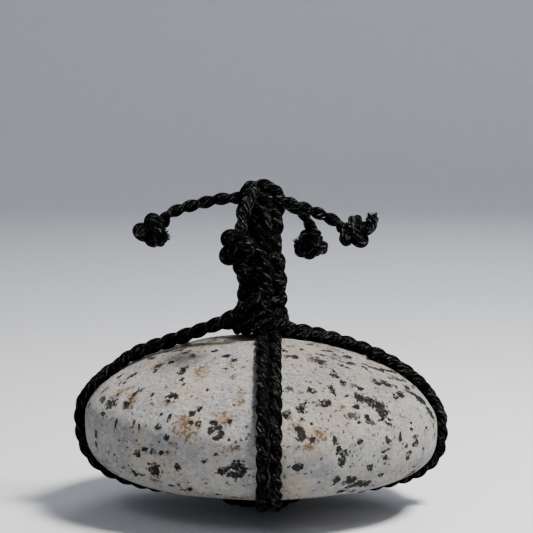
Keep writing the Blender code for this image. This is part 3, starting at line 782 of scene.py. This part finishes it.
def make_bands(material):
    """The pair of cords along the stone and the pair across it."""
    long_middle = LONG_BAND_TOP / 2
    front = band_route(True, -PAIR_SPACING / 2, long_middle)
    second_half = np.arange(len(front)) > len(front) / 2
    climbing = second_half & (front[:, 0] > -LIFT_OFF) & (front[:, 2] > WIDEST_LEVEL)
    front = tuck(np.vstack([front[~climbing], CLIMB]), True, False)
    back = band_route(True, PAIR_SPACING / 2, long_middle)
    on_top_right = (back[:, 0] > 0.0) & (back[:, 2] > WIDEST_LEVEL)
    near_foot = smooth_step((RIGHT_LIFT_REACH - back[:, 0]) / RIGHT_LIFT_REACH)
    back[:, 2] += RIGHT_LIFT * near_foot * on_top_right
    on_top_left = (back[:, 0] < 0.0) & (back[:, 2] > WIDEST_LEVEL)
    near_foot = smooth_step((back[:, 0] + LEFT_LIFT_FROM) / LEFT_LIFT_REACH)
    back[:, 2] += LEFT_LIFT * near_foot * on_top_left
    back = tuck(back, True, True)
    routes = {"long_band_front": front, "long_band_back": back}
    for name, side in (("cross_band_left", -1), ("cross_band_right", 1)):
        lane = CROSS_PAIR_X + side * PAIR_SPACING / 2
        routes[name] = tuck(band_route(False, lane, CROSS_BAND_MIDDLE), True, True)
    for index, (node, route) in enumerate(routes.items()):
        # A quarter turn apart, so that the plies of each pair lie in each other's hollows
        turned = 0.4 + index * math.pi / 2
        route = smooth_route(route)
        cord = lay_cord("cord_" + node, route, material, turned=turned, pressed=PULLED_TIGHT)
        # The long pair lies on the ground, and the cross pair between it and the stone
        if node.startswith("long"):
            press(cord, 0.0, LONG_BAND_TOP)
        else:
            press(cord, LONG_BAND_TOP, STONE_BOTTOM)
        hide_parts(node)


def strand_route(strand):
    """The points of one of the four strands, from the foot knot through every crown."""
    route = []
    for crown in range(CROWNS):
        angle = math.radians(90.0 * strand + 180.0 * crown)
        ahead = np.array([math.cos(angle), math.sin(angle), 0.0])
        side = np.array([-math.sin(angle), math.cos(angle), 0.0])
        radius = RISER_RADIUS * CROWN_SWELL[crown]
        if crown == 0:
            for inward, level in STRAND_ROOTS:
                route.append(-ahead * radius * inward + np.array([0.0, 0.0, level]))
        for index, (out, side_step, rise) in enumerate(CROWN_PATH):
            level = FIRST_CROWN + crown * CROWN_PITCH + rise * CORD
            if index == 0 and crown > 0:
                level -= RISER_DROP
            middle = np.array([CROWN_SHIFT[crown], 0.0, level])
            route.append(middle + ahead * out * radius + side * side_step * CORD / 2)
    return route


def knot_route(centre, along, cut_end_way):
    """The cord's way through an overhand knot, in along one direction and out the other way."""
    along = unit(along)
    cut_end_way = unit(cut_end_way)
    across = unit(np.array([0.0, 1.0, 0.0]) - along * along[1])
    third = np.cross(along, across)
    half = np.array(KNOT_HALF)
    other_half = half[::-1] * (-1.0, -1.0, 1.0)
    local = np.vstack([other_half, half[1:]]) * KNOT_CORD
    through = centre + local[:, :1] * along + local[:, 1:2] * across + local[:, 2:] * third
    ends = [centre + KNOT_CORD * (back * along + out * cut_end_way) for back, out in CUT_END]
    return np.vstack([through[:-1], ends])


def make_handle_and_tails(material):
    """Each strand, its tail and its knot are one cord, laid in three lengths."""
    strands, cut_ends = [], []
    for index, (side, (tail, centre, along, cut_end_way)) in enumerate(TAILS.items()):
        crowned = strand_route(index)
        centre = np.array(centre)
        knot = knot_route(centre, along, cut_end_way)
        route = smooth_route(np.vstack([crowned, tail, knot]))
        top = crowned[-len(CROWN_PATH) + TAIL_STARTS_AT]
        tail_starts = int(np.argmin(np.linalg.norm(route - top, axis=1)))
        knot_starts = int(np.argmin(np.linalg.norm(route - knot[0], axis=1)))
        turned = 0.9 * index
        tail_stops = knot_starts + 2
        strand = lay_cord("strand_" + side, route, material, 0, tail_starts + 2,
                          CROWNED_THICKNESS, turned, CROWNED)
        strands.append(strand)
        free = lay_cord("tail_cord_" + side, route, material, tail_starts, tail_stops,
                        turned=turned)
        tied = lay_cord("knot_cord_" + side, route, material, knot_starts, None,
                        KNOT_THICKNESS, turned, PULLED_TIGHT)
        for piece, node in ((free, "tail_" + side), (tied, "knot_" + side)):
            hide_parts(node)
        cut_ends.append((route[-1], unit(route[-1] - route[-4])))
    return strands, cut_ends


def make_core(material):
    """The ends of the bands, run up together in the middle of the handle."""
    route = smooth_route(CORE)
    return lay_cord("band_ends_in_handle", route, material, thickness=CORE_STOUTNESS, pressed=1.0)


def make_last_pass(material):
    """The strand that closes the top of the handle, tucked in on both sides."""
    return lay_cord("pass_over_top", smooth_route(LAST_PASS), material,
                    thickness=CROWNED_THICKNESS, turned=1.3, pressed=CROWNED)


def make_foot_turns(material):
    """The cord wound round the ends of the bands, with its own ends tucked in."""
    turns = np.linspace(-FOOT_OVERRUN, FOOT_TURNS + FOOT_OVERRUN, FOOT_POINTS)
    turns = turns * 2 * math.pi + FOOT_START
    share = np.linspace(0.0, 1.0, FOOT_POINTS)
    at_start = smooth_step(1.0 - share / FOOT_TUCK_SHARE)
    at_end = smooth_step(1.0 - (1.0 - share) / FOOT_TUCK_SHARE)
    tucked = 1.0 - FOOT_TUCK * (at_start + at_end)
    radius = (FOOT_RADIUS - FOOT_TAPER * share) * tucked
    x, y = radius * np.cos(turns), radius * np.sin(turns)
    tilt = FOOT_TILT * x * (1.0 - FOOT_TILT_BACK * share)
    z = FOOT_LOW + (FOOT_HIGH - FOOT_LOW) * share + tilt
    return lay_cord("foot_turns", smooth_route(np.stack([x, y, z], axis=1)), material, turned=2.2)


def falloff(points, normals, mark, at):
    """How near each point of the stone is to the middle of a mark: 1 there, 0 outside it."""
    half_length, half_width, tilt = mark
    normal = normals[at]
    level = unit(np.cross((0.0, 0.0, 1.0), normal) if abs(normal[2]) < 0.95 else (1.0, 0.0, 0.0))
    level = level if level[0] > 0 else -level
    upward = np.cross(normal, level)
    upward = upward if upward[2] > 0 else -upward
    away = points - points[at]
    near = np.flatnonzero(np.abs(away).max(axis=1) < MARK_REACH * max(half_length, half_width))
    flat = np.stack([away[near] @ level, away[near] @ upward], axis=1)
    turn = math.radians(tilt)
    along = flat[:, 0] * math.cos(turn) + flat[:, 1] * math.sin(turn)
    across = -flat[:, 0] * math.sin(turn) + flat[:, 1] * math.cos(turn)
    return near, np.exp(-((along / half_length) ** 2 + (across / half_width) ** 2) / MARK_EDGE)


def mark_fields(points, normals):
    """Where the stone is dark, pitted, rusty and olive: the marks on its front as they lie on
    the real one, and others like them over the rest."""
    fields = {}
    tables = {"dark": DARK_GRAINS_AND_SHADE, "pit": PITS, "rust": RUST_STAINS, "olive": OLIVE_PATCHES}
    front = np.flatnonzero((points[:, 1] < 4.0) & (normals[:, 1] < 0.12))
    for name, table in tables.items():
        values = np.zeros(len(points))
        for x, z, *mark in table:
            gap = (points[front, 0] - x) ** 2 + (points[front, 2] - z) ** 2
            near, share = falloff(points, normals, mark, front[np.argmin(gap)])
            values[near] = np.maximum(values[near], share)
        fields[name] = values
    rng = np.random.default_rng(11)
    facing_away = (normals[:, 1] > 0.15) | (normals[:, 2] < -0.55) | (normals[:, 2] > 0.93)
    kinds, shares = list(MARK_SHARES), list(MARK_SHARES.values())
    for at in rng.choice(np.flatnonzero(facing_away), MARKS_ELSEWHERE):
        name = rng.choice(kinds, p=shares)
        size = SMALLEST_MARK + rng.random() ** 3 + (RUST_LARGER_BY if name == "rust" else 0.0)
        for _ in range(rng.integers(1, 4)):
            beside = points[at] + rng.normal(0.0, CLUSTER_SPREAD, 3)
            nearest = int(np.argmin(((points - beside) ** 2).sum(axis=1)))
            half_length, half_width = size * rng.uniform(0.7, 1.6), size * rng.uniform(0.6, 1.0)
            mark = (half_length, half_width, rng.uniform(-60, 60))
            near, share = falloff(points, normals, mark, nearest)
            fields[name][near] = np.maximum(fields[name][near], share)
    return fields


def stone_directions():
    """Unit directions from the stone's middle to its rings of points and to its two ends."""
    along = np.linspace(0.0, math.pi, STONE_RINGS + 1)[1:-1]
    turn, polar = np.meshgrid(circle(STONE_SEGMENTS), along)
    out = np.sin(polar)
    rings = np.stack([np.cos(polar), out * np.cos(turn), out * np.sin(turn)], axis=2)
    return np.vstack([rings.reshape(-1, 3), (1.0, 0.0, 0.0), (-1.0, 0.0, 0.0)])


def stone_normals(directions, points):
    """The way that the stone's surface faces at each of its points."""
    tangents = []
    for axis in ((0.0, 0.0, 1.0), (0.0, 1.0, 0.0)):
        step = np.cross(directions, axis)
        step /= np.linalg.norm(step, axis=1)[:, None] + 1e-9
        tangents.append(stone_surface(unit_rows(directions + 1e-3 * step)) - points)
    square = np.cross(*tangents)
    square /= np.linalg.norm(square, axis=1)[:, None] + 1e-12
    outward = points - np.array([0.0, 0.0, WIDEST_LEVEL])
    return square * np.sign((square * outward).sum(axis=1))[:, None]


def stone_relief(points, fields):
    """How far the worn surface stands off the smooth form: low hummocks, less the pits, the
    soft dark grains and the nick in the upper right edge."""
    x, y, z = points.T
    coarse = np.sin(x / 5.1 + 1.0) * np.sin(y / 6.3) * np.sin(z / 4.7 + 0.4)
    fine = 0.5 * np.sin(x / 2.3 + z / 3.1) * np.sin(y / 2.7 + 2.0)
    start, run_out, half_width, depth = NICK
    past = x - start
    nick = depth * smooth_step(past) * np.exp(-np.maximum(past, 0.0) / run_out)
    nick = nick * np.exp(-((y / half_width) ** 2)) * (z > WIDEST_LEVEL)
    sunk = PIT_DEPTH * fields["pit"] + GRAIN_DEPTH * fields["dark"] + nick
    return HUMMOCK_HEIGHT * (coarse + fine) - sunk


def make_stone(material):
    """The pebble, with the fields of its marks for the material."""
    directions = stone_directions()
    points = stone_surface(directions)
    normals = stone_normals(directions, points)
    fields = mark_fields(points, normals)
    points = points + normals * stone_relief(points, fields)[:, None]
    rings = np.arange(STONE_SEGMENTS * (STONE_RINGS - 1)).reshape(STONE_RINGS - 1, STONE_SEGMENTS)
    after = np.roll(rings, -1, axis=1)
    faces = np.stack([rings[:-1], rings[1:], after[1:], after[:-1]], axis=2).reshape(-1, 4).tolist()
    first, last = len(points) - 2, len(points) - 1
    faces += [[first, rings[0][i], after[0][i]] for i in range(STONE_SEGMENTS)]
    faces += [[last, after[-1][i], rings[-1][i]] for i in range(STONE_SEGMENTS)]
    stored = {name: ("FLOAT", values) for name, values in fields.items()}
    stone = new_piece("river_stone", points, faces, material, stored)
    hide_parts("stone")


def make_fibres(cut_ends, material):
    """The frayed filaments at the four cut ends."""
    rng = np.random.default_rng(5)
    points, faces = [], []
    for end, way in cut_ends:
        across = unit(np.cross(way, (0.3, 0.9, 0.2)))
        third = np.cross(way, across)
        for _ in range(FILAMENTS):
            angle = rng.uniform(0, 2 * math.pi)
            out = FRAY_RADIUS * math.sqrt(rng.random())
            spread = math.cos(angle) * across + math.sin(angle) * third
            root = end - FRAY_ROOT * way + spread * out
            tip = root + way * rng.uniform(*FRAY_LENGTH)
            tip = tip + spread * rng.uniform(0.0, FRAY_SPREAD) * out / FRAY_RADIUS
            wide = rng.uniform(*FILAMENT_RADIUS)
            base = len(points)
            for share, thick in ((0.0, 1.0), (0.6, 1.0), (1.0, 0.5)):
                middle = root + (tip - root) * share + spread * FRAY_CURL * share**2
                for corner in range(3):
                    turn = corner * 2 * math.pi / 3
                    off = math.cos(turn) * across + math.sin(turn) * third
                    points.append(middle + wide * thick * off)
            for ring in (0, 3):
                for corner in range(3):
                    after = (corner + 1) % 3
                    a, b = base + ring + corner, base + ring + after
                    faces.append([a, b, b + 3, a + 3])
            faces.append([base + 6, base + 7, base + 8])
            faces.append([base + 2, base + 1, base])
    yarn = np.array(points)
    fibres = new_piece("frayed_ends", points, faces, material, {"yarn": ("FLOAT_VECTOR", yarn)})


def make_studio():
    """A plain pale floor that curves up into a wall all round, a broad soft light from above on
    the right, and two weaker ones."""
    around = circle(SWEEP_SIDES)
    bend = np.linspace(0.0, math.pi / 2, SWEEP_STEPS)
    reach = [*(FLOOR_RADIUS + SWEEP_RADIUS * np.sin(bend)), FLOOR_RADIUS + SWEEP_RADIUS]
    height = [*(SWEEP_RADIUS - SWEEP_RADIUS * np.cos(bend)), WALL_TOP]
    points = [(0.0, 0.0, 0.0)]
    for out, up in zip(reach, height):
        points += [(out * math.cos(turn), out * math.sin(turn), up) for turn in around]
    faces = [(0, 1 + i, 1 + (i + 1) % SWEEP_SIDES) for i in range(SWEEP_SIDES)]
    for ring in range(len(reach) - 1):
        for i in range(SWEEP_SIDES):
            a = 1 + ring * SWEEP_SIDES + i
            b = 1 + ring * SWEEP_SIDES + (i + 1) % SWEEP_SIDES
            faces.append((a, a + SWEEP_SIDES, b + SWEEP_SIDES, b))
    mesh = bpy.data.meshes.new("floor")
    mesh.from_pydata(points, [], faces)
    mesh.shade_smooth()
    mesh.materials.append(floor_material())
    floor = bpy.data.objects.new("floor", mesh)
    bpy.context.scene.collection.objects.link(floor)
    for name, kind, place, size, power, colour in LIGHTS:
        data = bpy.data.lights.new(name, kind)
        if kind == "SUN":
            data.angle = size
        else:
            data.size = size
        data.energy = power
        data.color = linear(colour)[:3]
        light = bpy.data.objects.new(name, data)
        light.location = place
        x, y, z = np.array(LIGHTS_AIM) - np.array(place)
        tilt = math.atan2(math.hypot(x, y), -z)
        light.rotation_euler = (tilt, 0.0, math.atan2(y, x) - math.pi / 2)
        bpy.context.scene.collection.objects.link(light)
    world = bpy.data.worlds.new("studio air")
    world.use_nodes = True
    background = world.node_tree.nodes["Background"]
    background.inputs["Color"].default_value = linear(AIR_COLOUR)
    background.inputs["Strength"].default_value = AIR_LIGHT
    bpy.context.scene.world = world


def main():
    make_camera()
    black_cord = black_cord_material()
    strands, cut_ends = make_handle_and_tails(black_cord)
    make_bands(black_cord)
    turns = make_foot_turns(black_cord)
    core = make_core(black_cord)
    last_pass = make_last_pass(black_cord)
    for piece in (*strands, turns, core, last_pass):
        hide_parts("handle")
    make_fibres(cut_ends, black_cord)
    make_stone(granite_material())
    make_studio()


main()
